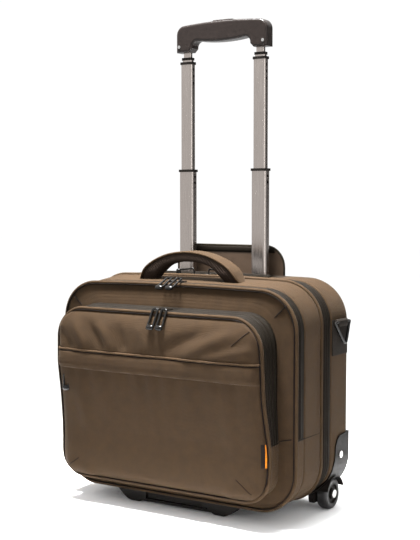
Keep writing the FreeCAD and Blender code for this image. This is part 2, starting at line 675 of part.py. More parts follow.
def make_carry_handle():
    """A padded strap in an arch, narrow at its feet so that it can tip."""
    foot = size("handle_foot")
    inside = size("handle_inner")
    top = size("handle_top")
    low = size("mid_top") + 8.5
    flank = size("handle_deep")
    middle = size("handle_y")

    def arch(half, crest, stations):
        rise = crest - low
        right = [V(half * across, 0, low + rise * up) for across, up in stations]
        left = [V(-spot.x, 0, spot.z) for spot in reversed(right[:-1])]
        curve = Part.BSplineCurve()
        curve.interpolate(right + left)
        return curve.toShape()

    outer = arch(foot, top, ((1, 0), (0.876, 0.33), (0.68, 0.61), (0.443, 0.85), (0.19, 0.975), (0, 1)))
    inner = arch(inside, top - size("handle_thick"), ((1, 0), (0.79, 0.45), (0.5, 0.84), (0.2, 0.98), (0, 1)))
    feet = [Part.makeLine(V(side * foot, 0, low), V(side * inside, 0, low)) for side in (-1, 1)]
    strap = Part.Face(Part.Wire(Part.__sortEdges__([outer, inner] + feet))).extrude(V(0, 2 * flank, 0))
    strap.translate(V(0, middle - flank, 0))
    waist = 4.0
    end = foot + 20
    side = [(-end, middle - waist, low - 1), (-end, middle - waist, low), (-end, middle - flank, low + 18),
            (-end, middle - flank, top + 2), (-end, middle + flank, top + 2), (-end, middle + flank, low + 18),
            (-end, middle + waist, low), (-end, middle + waist, low - 1)]
    whole = common("carry_whole", solid("carry_arch", strap), prism("carry_side", side, (2 * end, 0, 0)))
    wings = fuse("carry_wings", block("carry_wing_left", (-130, -60, 300), ("-handle_split", 60, 420)),
                 block("carry_wing_right", ("handle_split", -60, 300), (130, 60, 420)))
    node("carry_strap", common("carry_strap", whole, wings))
    node("carry_grip", cut("carry_grip", whole, wings))


def make_flap():
    back = size("flap_back")
    edges = [outline(y, size("flap_half"), size("main_top") + 1.3, size("flap_top"), 2, size("flap_corner"))
             for y in (back - size("flap_thick"), back)]
    node("well_flap", loft("well_flap", *edges))


# ---------------------------------------------------------------- zip sliders and pulls

def make_slider(name, place, reach, height):
    """A slider on its tape. Its bridge ends in an eye, reach ahead of its middle and height above its base."""
    base = Part.makeBox(11, 9, 2, V(-5.5, -4.5, 0))
    bridge = Part.makeBox(3, reach + 5, height - 0.4, V(-1.5, -reach - 2, 2))
    eye = Part.makeCylinder(1.1, 20, V(-10, -reach, height), V(1, 0, 0))
    shape = base.fuse(bridge).cut(eye)
    piece = solid("slider_" + name, shape)
    piece.Placement = place
    node("slider_" + name, piece)


def make_pull(name, place):
    """A pull that hangs from a pin through a slider's eye."""
    half = size("pull_half")
    end = 1.3 - size("pull_long")
    pin = Part.makeCylinder(0.8, 2 * half, V(-half, 0, 0), V(1, 0, 0))
    arms = [Part.makeBox(2, 2, 10.8, V(x, -1, -10)) for x in (-half, half - 2)]
    tab = Part.makeBox(2 * half, 2, 15, V(-half, -1, -24))
    window = Part.makeBox(3, 4, 8, V(-1.5, -2, -18.5))
    tail = Part.makeBox(2 * half - 2, 2, 15.5, V(1 - half, -1, end))
    barrel = Part.makeCylinder(1.25, 2 * half + 1, V(-half - 0.5, 0, end), V(1, 0, 0))
    shape = tab.fuse(arms + [tail, pin, barrel]).cut(window).removeSplitter()
    piece = solid("pull_" + name, shape)
    piece.Placement = place
    node("pull_" + name, piece)


def zip_set(name, frame, reach, height, droop):
    """A slider placed by frame, with its pull drooping towards the slider's front."""
    make_slider(name, frame, reach, height)
    hang = FreeCAD.Placement(V(0, -reach, height), FreeCAD.Rotation(V(1, 0, 0), -droop))
    make_pull(name, frame.multiply(hang))


def make_zips():
    front_y = size("pocket_front") + 6
    top = size("pocket_top") + 1.5
    for side, x in (("left", 3.0), ("right", 19.0)):
        zip_set("front_" + side, FreeCAD.Placement(V(x, front_y, top), FreeCAD.Rotation()), 8.5, 5.0, 29.5)
    mid_y = size("mid_front") + 9
    top = size("mid_top") + 3.2
    for side, x in (("left", -10.0), ("right", 8.0)):
        zip_set("mid_" + side, FreeCAD.Placement(V(x, mid_y, top), FreeCAD.Rotation()), 8.5, 5.0, 65.0)
    main_y = size("split") + 9
    top = size("main_top") + 0.5
    for side, x, way in (("left", -16.0, -90), ("right", 0.0, 90)):
        along = FreeCAD.Rotation(V(0, 0, 1), way)
        zip_set("main_" + side, FreeCAD.Placement(V(x, main_y, top), along), 6.0, 4.0, 84.0)
    facing = FreeCAD.Rotation(V(1, 0, 0), 90)
    face = FreeCAD.Placement(V(-164.0, size("panel_front") - 0.2, 207.0), facing)
    zip_set("pocket", lean_by().multiply(face), 5.0, 3.2, 90.0 + size("lean"))


make_rear()
make_corner_guard()
for wheel_side, wheel_sign in (("left", -1), ("right", 1)):
    make_wheel(wheel_side, wheel_sign)
    make_ring(wheel_side, wheel_sign)
make_axles()
make_ring_tabs()
make_base_tubes()
make_stages()
make_grip()
make_middle()
make_organiser()
make_front_panel()
make_carry_handle()
make_flap()
make_zips()
doc.recompute()

# ---------------------------------------------------------------- checks and export

for item in doc.Objects:
    if "Invalid" in item.State or "Error" in item.State:
        raise RuntimeError("%s did not compute: %s" % (item.Name, item.State))
for name, piece in NODES.items():
    if piece.Shape.isNull() or not piece.Shape.isValid() or not piece.Shape.Solids:
        raise RuntimeError("%s has no valid solid" % name)

os.makedirs("parts", exist_ok=True)
whole = FreeCAD.BoundBox()
for name, piece in NODES.items():
    piece.Shape.exportStep("parts/%s.step" % name)
    whole.add(piece.Shape.BoundBox)
print("%d nodes, %s" % (len(NODES), whole))
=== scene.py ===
import json
import math
import bmesh
import bpy
import numpy as np
from mathutils import Matrix, Vector, noise


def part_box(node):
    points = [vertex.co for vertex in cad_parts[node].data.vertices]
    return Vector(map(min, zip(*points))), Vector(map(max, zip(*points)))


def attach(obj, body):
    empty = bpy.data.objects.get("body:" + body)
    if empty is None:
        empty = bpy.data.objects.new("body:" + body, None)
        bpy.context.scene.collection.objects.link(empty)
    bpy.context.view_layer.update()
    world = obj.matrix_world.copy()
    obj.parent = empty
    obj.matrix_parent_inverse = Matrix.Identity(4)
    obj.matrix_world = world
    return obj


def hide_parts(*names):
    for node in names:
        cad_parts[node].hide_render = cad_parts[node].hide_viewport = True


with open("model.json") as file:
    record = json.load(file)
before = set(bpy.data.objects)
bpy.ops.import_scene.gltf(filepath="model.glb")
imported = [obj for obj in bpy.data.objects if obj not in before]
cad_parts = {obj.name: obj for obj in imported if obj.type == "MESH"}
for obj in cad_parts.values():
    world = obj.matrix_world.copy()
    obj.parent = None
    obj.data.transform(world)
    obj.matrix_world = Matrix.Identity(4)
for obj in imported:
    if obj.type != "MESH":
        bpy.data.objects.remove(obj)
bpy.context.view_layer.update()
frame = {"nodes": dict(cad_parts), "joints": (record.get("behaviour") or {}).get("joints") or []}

# Shapes below are worked out in millimetres in the CAD frame and scaled once, when a mesh is made.
MM = 0.001


def cad(node):
    """A CAD node's lowest and highest corners, in millimetres."""
    low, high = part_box(node)
    return low / MM, high / MM


# ------------------------------------------------------------------ sizes from the frame

REAR_LOW, REAR_HIGH = cad("rear_shell")
MID_LOW, MID_HIGH = cad("mid_shell")
TAPE_LOW, TAPE_HIGH = cad("mid_zip_tape")
BAND_LOW, BAND_HIGH = cad("rear_zip_band")
PANEL_LOW, PANEL_HIGH = cad("organiser_panel")
GUSSET_LOW, GUSSET_HIGH = cad("front_gusset")
FLAP_LOW, FLAP_HIGH = cad("well_flap")
BODY_HALF = REAR_HIGH.x
BODY_BASE = REAR_LOW.z
MID_TOP = PANEL_HIGH.z
MAIN_TOP = REAR_HIGH.z
MID_FRONT = PANEL_HIGH.y
SPLIT = MID_HIGH.y
POCKET_FRONT = -98.0
POCKET_HALF = 182.0
POCKET_LOW = 41.0
POCKET_TOP = 305.0
POCKET_CORNER = 46.0
POCKET_FOOT = 36.0
POCKET_FLARE = 7.0
CORNER_LOW = 60.0
CORNER_MID = 58.0
CORNER_MAIN = 62.0
CROWN = 3.0
WHEEL_SPACE = 28.6
WELL_LOW = (-116.0, 71.0)
WELL_HIGH = (116.0, 107.0)
# The soft pocket's sag at heights up it: how far its front edge lies back, and how far its sides bulge.
SAG_HEIGHTS = (41, 60, 80, 100, 120, 140, 160, 180, 200, 220, 280, 305)
SAG_BACK = (13.5, 13.0, 14.5, 15.6, 15.0, 12.0, 8.7, 5.4, 2.3, 0.2, -1.0, 0.0)
SAG_SIDE = (1.0, 4.0, 5.5, 6.2, 5.8, 4.5, 3.1, 2.2, 2.1, 2.6, 0.6, 0.0)


# ------------------------------------------------------------------ node materials

def new_material(name):
    material = bpy.data.materials.new(name)
    material.use_nodes = True
    tree = material.node_tree
    return material, tree, tree.nodes["Principled BSDF"]


def texture(tree, kind, scale, **settings):
    """A 3-D texture in object coordinates, with scale in repeats per metre."""
    coordinates = tree.nodes.new("ShaderNodeTexCoord")
    mapping = tree.nodes.new("ShaderNodeMapping")
    mapping.inputs["Scale"].default_value = scale if hasattr(scale, "__len__") else (scale,) * 3
    node = tree.nodes.new(kind)
    tree.links.new(coordinates.outputs["Object"], mapping.inputs["Vector"])
    tree.links.new(mapping.outputs["Vector"], node.inputs["Vector"])
    for key, value in settings.items():
        if key in node.inputs:
            node.inputs[key].default_value = value
        else:
            setattr(node, key, value)
    return node


def ramp(tree, source, low, high, start=0.3, end=0.7):
    """Maps a grey value between two colours."""
    node = tree.nodes.new("ShaderNodeValToRGB")
    node.color_ramp.elements[0].position = start
    node.color_ramp.elements[1].position = end
    node.color_ramp.elements[0].color = (*low, 1)
    node.color_ramp.elements[1].color = (*high, 1)
    tree.links.new(source, node.inputs["Fac"])
    return node


def math_node(tree, operation, first, second):
    node = tree.nodes.new("ShaderNodeMath")
    node.operation = operation
    for socket, value in zip(node.inputs, (first, second)):
        if isinstance(value, (int, float)):
            socket.default_value = value
        else:
            tree.links.new(value, socket)
    return node.outputs[0]


def bump(tree, shader, height, strength, distance):
    node = tree.nodes.new("ShaderNodeBump")
    node.inputs["Strength"].default_value = strength
    node.inputs["Distance"].default_value = distance
    tree.links.new(height, node.inputs["Height"])
    tree.links.new(node.outputs["Normal"], shader.inputs["Normal"])


def shade(colour, factor):
    return tuple(channel * factor for channel in colour)


def woven(name, colour, thread=1.0, rough=0.82, sheen=0.0, depth=0.35, twill=False,
          gloss=0.07):
    """Woven cloth with threads thread millimetres apart, faded and darkened a little from place to place."""
    material, tree, shader = new_material(name)
    turns = 1.0 / (thread * MM)
    waves = []
    for axis in "XYZ":
        wave = texture(tree, "ShaderNodeTexWave", 1.0, Scale=turns / 3.18, wave_type="BANDS",
                       bands_direction=axis)
        waves.append(wave.outputs["Fac"])
    if twill:
        slant = texture(tree, "ShaderNodeTexWave", 1.0, Scale=turns / 5.0, wave_type="BANDS",
                        bands_direction="DIAGONAL")
        cloth = slant.outputs["Fac"]
    else:
        cloth = math_node(tree, "MULTIPLY", waves[0], waves[2])
        cloth = math_node(tree, "ADD", cloth, math_node(tree, "MULTIPLY", waves[1], 0.5))
    tone = texture(tree, "ShaderNodeTexNoise", 14.0, Detail=4.0, Roughness=0.6)
    fine = texture(tree, "ShaderNodeTexNoise", 900.0, Detail=2.0, Roughness=0.7)
    mixed = math_node(tree, "ADD", math_node(tree, "MULTIPLY", tone.outputs["Fac"], 0.55),
                      math_node(tree, "MULTIPLY", fine.outputs["Fac"], 0.45))
    colours = ramp(tree, mixed, shade(colour, 0.78), shade(colour, 1.2), 0.35, 0.68)
    tree.links.new(colours.outputs["Color"], shader.inputs["Base Color"])
    worn = ramp(tree, tone.outputs["Fac"], (rough - 0.08,) * 3, (rough + 0.08,) * 3)
    tree.links.new(worn.outputs["Color"], shader.inputs["Roughness"])
    shader.inputs["Sheen Weight"].default_value = sheen
    shader.inputs["Sheen Roughness"].default_value = 0.3
    shader.inputs["Sheen Tint"].default_value = (1.0, 0.8, 0.6, 1)
    shader.inputs["Specular IOR Level"].default_value = gloss
    height = math_node(tree, "ADD", cloth, math_node(tree, "MULTIPLY", fine.outputs["Fac"], 0.8))
    bump(tree, shader, height, depth, thread * 0.35 * MM)
    return material


def zip_cloth(name, colour):
    """Zip tape: fine ribs across, and coil teeth on its raised rows, counted along the mesh's own length."""
    material, tree, shader = new_material(name)
    lengths = tree.nodes.new("ShaderNodeUVMap")
    split = tree.nodes.new("ShaderNodeSeparateXYZ")
    tree.links.new(lengths.outputs["UV"], split.inputs["Vector"])
    teeth = math_node(tree, "SINE", math_node(tree, "MULTIPLY", split.outputs["X"], 2 * math.pi / 1.6), 0)
    ribs = math_node(tree, "SINE", math_node(tree, "MULTIPLY", split.outputs["Y"], 2 * math.pi / 1.1), 0)
    fine = texture(tree, "ShaderNodeTexNoise", 700.0, Detail=3.0, Roughness=0.7)
    height = math_node(tree, "ADD", math_node(tree, "MULTIPLY", teeth, 0.5),
                       math_node(tree, "MULTIPLY", ribs, 0.3))
    height = math_node(tree, "ADD", height, fine.outputs["Fac"])
    colours = ramp(tree, fine.outputs["Fac"], shade(colour, 0.7), shade(colour, 1.35))
    tree.links.new(colours.outputs["Color"], shader.inputs["Base Color"])
    shader.inputs["Roughness"].default_value = 0.7
    shader.inputs["Specular IOR Level"].default_value = 0.06
    bump(tree, shader, height, 0.5, 0.3 * MM)
    return material


def moulded(name, colour, rough=0.42, grain=0.25, gloss=0.3):
    """Moulded plastic with a fine spark texture and slightly rubbed patches."""
    material, tree, shader = new_material(name)
    spark = texture(tree, "ShaderNodeTexNoise", 1600.0, Detail=2.0)
    patches = texture(tree, "ShaderNodeTexNoise", 40.0, Detail=5.0, Roughness=0.65)
    colours = ramp(tree, patches.outputs["Fac"], shade(colour, 0.85), shade(colour, 1.25))
    tree.links.new(colours.outputs["Color"], shader.inputs["Base Color"])
    rubbed = ramp(tree, patches.outputs["Fac"], (rough - 0.06,) * 3, (rough + 0.08,) * 3)
    tree.links.new(rubbed.outputs["Color"], shader.inputs["Roughness"])
    shader.inputs["Specular IOR Level"].default_value = gloss
    bump(tree, shader, spark.outputs["Fac"], grain, 0.15 * MM)
    return material


def metal(name, colour, rough=0.3, grain=(900.0, 900.0, 6.0), depth=0.05):
    """Drawn or turned metal, with fine lines along its length."""
    material, tree, shader = new_material(name)
    lines = texture(tree, "ShaderNodeTexNoise", grain, Detail=3.0, Roughness=0.6)
    colours = ramp(tree, lines.outputs["Fac"], shade(colour, 0.9), shade(colour, 1.06))
    tree.links.new(colours.outputs["Color"], shader.inputs["Base Color"])
    satin = ramp(tree, lines.outputs["Fac"], (rough - 0.07,) * 3, (rough + 0.09,) * 3)
    tree.links.new(satin.outputs["Color"], shader.inputs["Roughness"])
    shader.inputs["Metallic"].default_value = 1.0
    bump(tree, shader, lines.outputs["Fac"], depth, 0.1 * MM)
    return material


BROWN = (0.031, 0.0185, 0.0095)
SHELL = woven("shell_fabric", BROWN, sheen=0.05, depth=0.6)
CORD = woven("piping_fabric", shade(BROWN, 1.05), thread=0.8, sheen=0.08)
# A lighter copy of the shell brown: painted highlight along the band's folded top edge.
WELT_LIT = woven("welt_lit_fabric", shade(BROWN, 1.25), thread=0.8, sheen=0.1)
# Near-black cloth laid in creases, seams and tucks as painted shade.
SEAM_SHADE = woven("seam_shadow", (0.006, 0.004, 0.003), thread=0.8)
LINING = woven("lining_fabric", (0.03, 0.021, 0.0145), thread=0.6, rough=0.5)
FLAP = woven("flap_fabric", (0.042, 0.0265, 0.0165), thread=0.6, rough=0.45, gloss=0.25)
TWILL = woven("handle_twill", (0.022, 0.0145, 0.0105), thread=1.6, depth=0.9, twill=True)
WEBBING = woven("webbing", (0.012, 0.0095, 0.0075), thread=1.4, depth=0.6)
GUSSET = woven("gusset_fabric", (0.014, 0.011, 0.0065), thread=0.8)
ZIP = zip_cloth("zip_tape", (0.006, 0.0043, 0.0026))
PLASTIC = moulded("moulded_black", (0.0045, 0.0033, 0.0025), rough=0.5, gloss=0.1)
GRIP = moulded("grip_black", (0.0095, 0.0062, 0.005), rough=0.32, gloss=0.22)
GLOSS = moulded("gloss_black", (0.004, 0.0035, 0.003), rough=0.16, grain=0.04, gloss=0.2)
TYRE = moulded("tyre_rubber", (0.006, 0.0052, 0.005), rough=0.5, grain=0.4, gloss=0.3)
ALUMINIUM = metal("tube_aluminium", (0.36, 0.32, 0.295), rough=0.24)
STEEL = metal("screw_steel", (0.45, 0.44, 0.43), rough=0.22, grain=(700.0, 700.0, 700.0))
TAG_BLACK = woven("tag_weave", (0.01, 0.008, 0.007), thread=0.5)
TAG_EDGE = woven("tag_edge_weave", (0.5, 0.16, 0.012), thread=0.5)


# ------------------------------------------------------------------ mesh helpers

def add_object(name, vertices, faces, materials, marks=None, smooth=True, uvs=None):
    """A mesh object from millimetre points. marks gives each face's material."""
    mesh = bpy.data.meshes.new(name)
    mesh.from_pydata([tuple(point) for point in np.asarray(vertices, float) * MM], [], faces)
    for material in materials:
        mesh.materials.append(material)
    if marks is not None:
        mesh.polygons.foreach_set("material_index", marks)
    if uvs is not None:
        layer = mesh.uv_layers.new(name="UVMap")
        flat = np.asarray(uvs, float)[[loop.vertex_index for loop in mesh.loops]]
        layer.data.foreach_set("uv", flat.ravel())
    mesh.polygons.foreach_set("use_smooth", [smooth] * len(mesh.polygons))
    piece = bpy.data.objects.new(name, mesh)
    bpy.context.scene.collection.objects.link(piece)
    tidy = bmesh.new()
    tidy.from_mesh(mesh)
    bmesh.ops.recalc_face_normals(tidy, faces=tidy.faces)
    tidy.to_mesh(mesh)
    tidy.free()
    return piece


def stitch_loops(loops, close_ends=True, wrap=False):
    """Faces between closed loops of equal length, with a fan at each end. Returns points and faces."""
    count = len(loops[0])
    points = [point for loop in loops for point in loop]
    faces = []
    rows = len(loops)
    for row in range(rows if wrap else rows - 1):
        below = row * count
        above = ((row + 1) % rows) * count
        for step in range(count):
            after = (step + 1) % count
            faces.append((below + step, below + after, above + after, above + step))
    if close_ends and not wrap:
        for row, flip in ((0, True), (rows - 1, False)):
            centre = len(points)
            points.append(np.mean(loops[row], axis=0))
            for step in range(count):
                after = (step + 1) % count
                pair = (row * count + step, row * count + after)
                faces.append((pair[1], pair[0], centre) if flip else (pair[0], pair[1], centre))
    return np.array(points), faces


def apply_modifiers(piece):
    """Bakes a piece's modifiers into its mesh."""
    bpy.context.view_layer.update()
    graph = bpy.context.evaluated_depsgraph_get()
    baked = bpy.data.meshes.new_from_object(piece.evaluated_get(graph))
    piece.modifiers.clear()
    piece.data = baked
    return piece


def cut_away(piece, cutter):
    """Takes cutter out of piece and removes cutter."""
    step = piece.modifiers.new("cut", "BOOLEAN")
    step.operation = "DIFFERENCE"
    step.solver = "MANIFOLD"
    step.object = cutter
    apply_modifiers(piece)
    bpy.data.objects.remove(cutter)
    return piece


def box_points(low, high):
    return [(x, y, z) for z in (low[2], high[2]) for y in (low[1], high[1]) for x in (low[0], high[0])]


BOX_FACES = [(0, 2, 3, 1), (4, 5, 7, 6), (0, 1, 5, 4), (2, 6, 7, 3), (0, 4, 6, 2), (1, 3, 7, 5)]


def soft_box(name, low, high, radius, material, segments=3):
    """A box with rounded edges."""
    piece = add_object(name, box_points(low, high), BOX_FACES, [material])
    rim = piece.modifiers.new("rim", "BEVEL")
    rim.width = radius * MM
    rim.segments = segments
    rim.limit_method = "NONE"
    return apply_modifiers(piece)


def sweep(name, path, radius, material, closed=False, sides=10, flat=1.0, up=None):
    """A rod along a path. flat thins it along up, or along its own normal."""
    path = np.asarray(path, float)
    count = len(path)
    if closed:
        ahead = np.roll(path, -1, axis=0) - np.roll(path, 1, axis=0)
    else:
        ahead = np.gradient(path, axis=0)
    ahead /= np.linalg.norm(ahead, axis=1)[:, None]
    guide = np.array(up if up is not None else (0.0, 1.0, 0.0), float)
    radii = np.broadcast_to(np.asarray(radius, float), (count,))
    loops = []
    for point, direction, thick in zip(path, ahead, radii):
        across = np.cross(direction, guide)
        if np.linalg.norm(across) < 1e-3:
            across = np.cross(direction, (1.0, 0.0, 0.0))
        across /= np.linalg.norm(across)
        over = np.cross(across, direction)
        turns = [2 * math.pi * side / sides for side in range(sides)]
        loops.append([point + thick * (math.cos(a) * across + flat * math.sin(a) * over) for a in turns])
    points, faces = stitch_loops(loops, close_ends=not closed, wrap=closed)
    return add_object(name, points, faces, [material])


def smooth_path(points, steps=12, closed=False):
    """A Catmull-Rom curve through given points."""
    points = [np.array(point, float) for point in points]
    if closed:
        padded = [points[-1]] + points + points[:2]
    else:
        padded = [2 * points[0] - points[1]] + points + [2 * points[-1] - points[-2]]
    path = []
    for a, b, c, d in zip(padded, padded[1:], padded[2:], padded[3:]):
        for step in range(steps):
            t = step / steps
            path.append(0.5 * (2 * b + (c - a) * t + (2 * a - 5 * b + 4 * c - d) * t ** 2
                               + (3 * b - a - 3 * c + d) * t ** 3))
    if not closed:
        path.append(points[-1])
    return np.array(path)


def settle(piece, body, slot, *nodes):
    """Hangs a finished piece on its body, in place of the nodes it stands for."""
    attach(piece, body)
    if nodes:
        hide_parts(*nodes)
    return piece


# ------------------------------------------------------------------ fabric outlines

def rounded_loop(half, low, high, r_low, r_high):
    """Points and outward normals round a rounded rectangle in X and Z, from the middle of its underside."""
    points = []
    normals = []

    def line(start, end, normal, count):
        for step in range(count):
            share = step / count
            points.append((start[0] + share * (end[0] - start[0]), start[1] + share * (end[1] - start[1])))
            normals.append(normal)

    def arc(x, z, radius, start, count=18):
        for step in range(count):
            angle = math.radians(start + 90.0 * step / count)
            normals.append((math.cos(angle), math.sin(angle)))
            points.append((x + radius * math.cos(angle), z + radius * math.sin(angle)))

    line((0, low), (half - r_low, low), (0, -1), 24)
    arc(half - r_low, low + r_low, r_low, -90)
    line((half, low + r_low), (half, high - r_high), (1, 0), 40)
    arc(half - r_high, high - r_high, r_high, 0)
    line((half - r_high, high), (r_high - half, high), (0, 1), 60)
    arc(r_high - half, high - r_high, r_high, 90)
    line((-half, high - r_high), (-half, low + r_low), (-1, 0), 40)
    arc(r_low - half, low + r_low, r_low, 180)
    line((r_low - half, low), (0, low), (0, -1), 24)
    return np.array(points), np.array(normals)


def crown(x):
    """How far the top bows up at x."""
    return CROWN * np.clip(1 - (x / (BODY_HALF - 40)) ** 2, 0, 1)


def body_loop(y, grow=0.0, scale=1.0):
    """The fabric body at depth y, larger all round by grow, drawn in towards its middle by scale."""
    share = min(1.0, max(0.0, (y - MID_FRONT) / (SPLIT - MID_FRONT)))
    high = MID_TOP + share * (MAIN_TOP - MID_TOP)
    r_high = CORNER_MID + share * (CORNER_MAIN - CORNER_MID)
    points, normals = rounded_loop(BODY_HALF, BODY_BASE, high, CORNER_LOW, r_high)
    bow = crown(points[:, 0]) * np.clip(normals[:, 1], 0, 1)
    points = points + normals * (grow + bow)[:, None]
    middle = np.array([0.0, (BODY_BASE + high) / 2])
    points = middle + (points - middle) * scale
    return np.column_stack([points[:, 0], np.full(len(points), float(y)), points[:, 1]])


def sag(z):
    """How far the pocket's front edge lies back at height z."""
    return np.interp(z, SAG_HEIGHTS, SAG_BACK)


def pocket_loop(y, grow=0.0, scale=1.0):
    """The front pocket at depth y: sagging at its front edge, square and a little taller at its back."""
    points, normals = rounded_loop(POCKET_HALF, POCKET_LOW, POCKET_TOP, POCKET_FOOT, POCKET_CORNER)
    back = min(1.0, max(0.0, (y - POCKET_FRONT) / (MID_FRONT - 3 - POCKET_FRONT)))
    side = np.interp(points[:, 1], SAG_HEIGHTS, SAG_SIDE) * np.clip(np.abs(normals[:, 0]) * 2, 0, 1)
    points = points + normals * grow
    points[:, 0] += np.sign(points[:, 0]) * side * (1 - 0.4 * back)
    points[:, 1] += POCKET_FLARE * back * np.clip(normals[:, 1] * 1.5, 0, 1)
    middle = np.array([0.0, (POCKET_LOW + POCKET_TOP) / 2])
    points = middle + (points - middle) * scale
    depth = y + (1 - back) * sag(points[:, 1])
    return np.column_stack([points[:, 0], depth, points[:, 1]])


def ease(value):
    value = np.clip(value, 0.0, 1.0)
    return value * value * (3 - 2 * value)


def side_seam(y):
    """Height at which the lower side panels are sewn to the zip tapes, at depth y."""
    return 124.0 + 4.5 * ease((y + 62.0) / 14.0)


def band(name, loop, profile, panel=None):
    """A closed ring. profile is a closed run of (depth, grow, rise): rise is left out below the side seam.

    panel is the material under the side seam. UVs are millimetres along and across.
    """
    base = [loop(y, grow) for y, grow, _ in profile]
    high = [loop(y, grow + rise) for y, grow, rise in profile]
    loops = []
    for low_ring, high_ring, (y, _, _) in zip(base, high, profile):
        share = ease((low_ring[:, 2] - side_seam(y)) / 3.0) if panel else np.ones(len(low_ring))
        loops.append(low_ring + (high_ring - low_ring) * share[:, None])
    points, faces = stitch_loops(loops, wrap=True)
    count = len(loops[0])
    along = np.concatenate([[0.0], np.cumsum(np.linalg.norm(np.diff(loops[0], axis=0), axis=1))])
    across = np.cumsum([0.0] + [math.dist(a[:2], b[:2]) for a, b in zip(profile, profile[1:])])
    uvs = [(along[step], across[row]) for row in range(len(profile)) for step in range(count)]
    marks = None
    if panel:
        middles = [np.mean(points[list(face)], axis=0) for face in faces]
        marks = [1 if middle[2] < side_seam(middle[1]) else 0 for middle in middles]
    return add_object(name, points, faces, [ZIP] + ([panel] if panel else []), marks, uvs=uvs)


def ridge(middle, base, width=6.0, height=1.7):
    """Stations over a zip's coil: two low rows of teeth with a groove between them."""
    shape = ((-1.0, 0.0), (-0.7, 0.75), (-0.45, 1.0), (-0.15, 0.85), (0.0, 0.45),
             (0.15, 0.85), (0.45, 1.0), (0.7, 0.75), (1.0, 0.0))
    return [(middle + share * width / 2, base, rise * height) for share, rise in shape]


def cord_ring(name, loop, y, grow, body, node):
    """Fabric piping round a seam, on a near-black band of painted shade that stands for the dark crease
    either side.
    """
    radius = 2.7
    crease = radius + 1.5
    profile = ((y - crease, grow - 1.6, 0), (y + crease, grow - 1.6, 0), (y + crease, grow - 2.6, 0),
               (y - crease, grow - 2.6, 0))
    # A near-black band under the cord: painted shade for the crease.
    shadow = band(name + "_crease_shade", loop, profile)
    shadow.data.materials.clear()
    shadow.data.materials.append(SEAM_SHADE)
    settle(shadow, body, "piping")
    settle(sweep(name, loop(y, grow), radius, CORD, closed=True, sides=12), body, "piping", node)


# ------------------------------------------------------------------ compartments

def undulate(points, amount, size, seed):
    """Moves points a little, as cloth over padding is never flat."""
    out = np.array(points, float)
    for index, point in enumerate(out):
        spot = Vector(point / size) + Vector((seed, seed * 1.7, seed * 2.3))
        out[index] += amount * np.array(noise.noise_vector(spot))
    return out


def tub(name, stations, back, wall, seed):
    """A fabric compartment open at the front, with its back face at back.

    stations are its outer (depth, grow) pairs.
    """
    start, edge = stations[0]
    loops = []
    inner_back = back - wall
    for scale in np.linspace(0.04, 1.0, 12):
        loops.append(body_loop(inner_back, -wall, scale))
    for y in np.linspace(inner_back, start + 2, 8)[1:]:
        loops.append(body_loop(y, -wall))
    inner_count = len(loops)
    loops.append(body_loop(start, (edge - wall) / 2))
    for y, grow in stations:
        loops.append(undulate(body_loop(y, grow), 0.5, 55.0, seed))
    last_y, last_grow = stations[-1]
    for scale in np.linspace(1.0, 0.04, 30)[1:]:
        loops.append(body_loop(last_y, last_grow, scale))
    points, faces = stitch_loops(loops)
    count = len(loops[0])
    marks = [1 if max(face) < inner_count * count else 0 for face in faces]
    return add_object(name, points, faces, [SHELL, LINING], marks)


def make_rear():
    front = REAR_LOW.y
    back = REAR_HIGH.y
    stations = [(front, -1.6), (front + 1.2, -0.4), (front + 4, 0.0)]
    rim = 5.0
    stations += [(y, 0.0) for y in np.linspace(front + 8, back - rim, 8)]
    stations += [(back - rim + rim * math.sin(a), -rim + rim * math.cos(a))
                 for a in np.linspace(0.15, math.pi / 2, 7)]
    piece = tub("rear_body", stations, back, 3.0, 1.0)
    slot_low = (*WELL_LOW, MAIN_TOP - 9)
    slot_high = (*WELL_HIGH, MAIN_TOP + 15)
    cutter = soft_box("well_cutter", slot_low, slot_high, 4.0, LINING)
    cut_away(piece, cutter)
    for side in (-1, 1):
        cut_away(piece, wheel_space(side))
    settle(piece, "case", "shell_fabric", "rear_shell")


def wheel_space(side):
    """The hole that a wheel's housing takes out of the body."""
    hub_low, hub_high = cad("tyre_right")
    axis_y = (hub_low.y + hub_high.y) / 2
    axis_z = (hub_low.z + hub_high.z) / 2
    inner = side * (hub_low.x - 11)
    outer = side * (hub_high.x + 30)
    loops = []
    for x in (inner, outer):
        turns = np.linspace(0, 2 * math.pi, 48, endpoint=False)
        loops.append([(x, axis_y + WHEEL_SPACE * math.cos(a), axis_z + WHEEL_SPACE * math.sin(a))
                      for a in turns])
    points, faces = stitch_loops(loops)
    return add_object("wheel_cutter", points, faces, [LINING])


def zip_band(name, loop, start, end, coil, base, wall, body, slot, node, folds=(), panel=None):
    """Tape from start to end with a coil row at coil. folds are low ridges past the tape."""
    profile = [(start, base, 0.3), (start + 1.5, base, 0)] + ridge(coil, base)
    for fold in folds:
        profile += [(fold - 1.2, base, 0), (fold - 0.5, base, 0.9),
                    (fold + 0.5, base, 0.9), (fold + 1.2, base, 0)]
    profile += [(end - 1.5, base, 0), (end, base, 0.2), (end, -wall, 0), (start, -wall, 0)]
    piece = band(name, loop, profile, panel)
    settle(piece, body, slot, node)


def make_middle():
    start = MID_LOW.y
    end = SPLIT - 4.2
    stations = [(start, -1.6), (start + 1.2, -0.4), (start + 4, 0.0)]
    stations += [(y, 0.0) for y in np.linspace(start + 8, end - 3, 8)]
    stations += [(end - 1.2, -0.5), (end, -1.9), (SPLIT - 0.1, -2.2)]
    piece = tub("middle_body", stations, SPLIT, 3.0, 2.0)
    settle(piece, "middle", "shell_fabric", "mid_shell")
    cord_ring("main_cord", body_loop, SPLIT - 2.6, 0.0, "middle", "main_piping")


